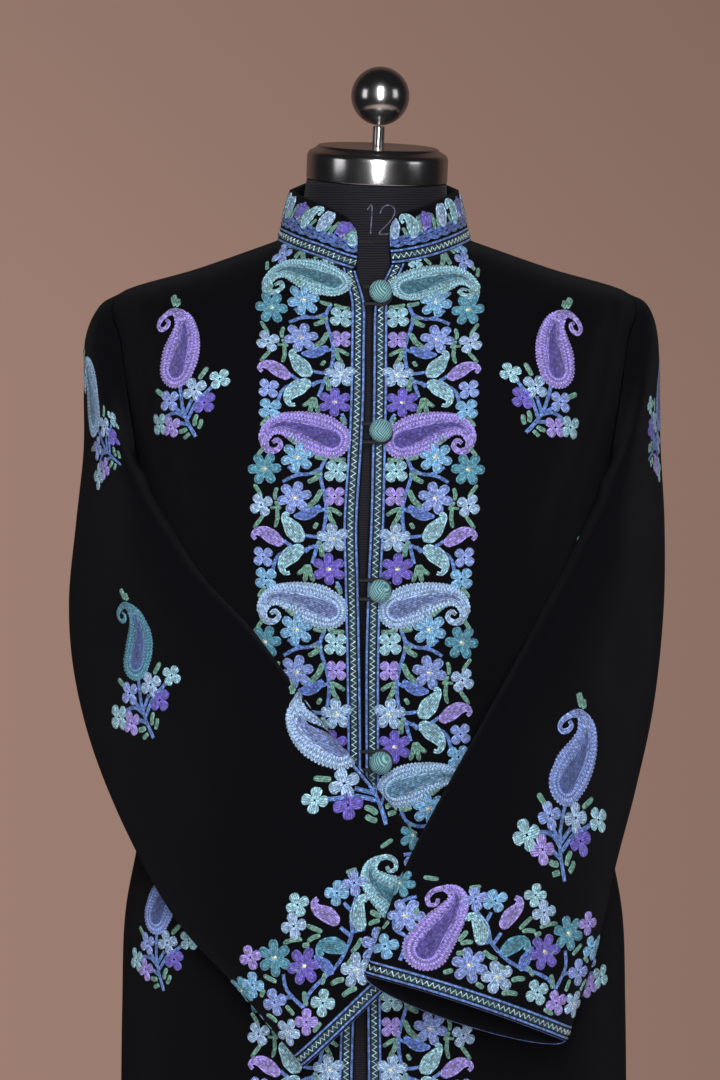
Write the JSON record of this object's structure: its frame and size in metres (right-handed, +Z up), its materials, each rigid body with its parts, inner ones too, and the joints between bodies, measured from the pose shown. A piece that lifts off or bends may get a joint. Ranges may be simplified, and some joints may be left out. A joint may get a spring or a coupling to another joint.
{
  "type": "embroidered jacket on a dress form",
  "caption": "Long black open-fronted jacket with stand collar, ball buttons, crossed long sleeves and paisley and flower embroidery, worn by a limbless dress form on a pole stand.",
  "frame": {"origin": "centre of the stand's flat underside, on the floor", "axes": "+Z up along the pole, the jacket's front opening faces -Y, the wearer's left is +X"},
  "size_m": [0.4805, 0.4227, 1.5896],
  "materials": {
    "black_wool": "matt fine twill wool, embroidered in chain stitch",
    "silk_thread": "teal silk thread worked over a round core",
    "form_cloth": "fine ribbed black jersey",
    "chrome": "polished",
    "black_iron": "black powder coat"
  },
  "bodies": {
    "root": {"front_left": "black_wool", "front_right": "black_wool", "back": "black_wool", "collar": "black_wool", "sleeve_left": "black_wool", "sleeve_right": "black_wool", "button_1": "silk_thread", "button_2": "silk_thread", "button_3": "silk_thread", "button_4": "silk_thread", "button_loop_1": "black_wool", "button_loop_2": "black_wool", "button_loop_3": "black_wool", "button_loop_4": "black_wool", "form_torso": "form_cloth", "neck_cap": "chrome", "finial_stud": "chrome", "finial_ball": "chrome", "stand_base": "black_iron", "stand_pole": "chrome"}
  },
  "joints": []
}
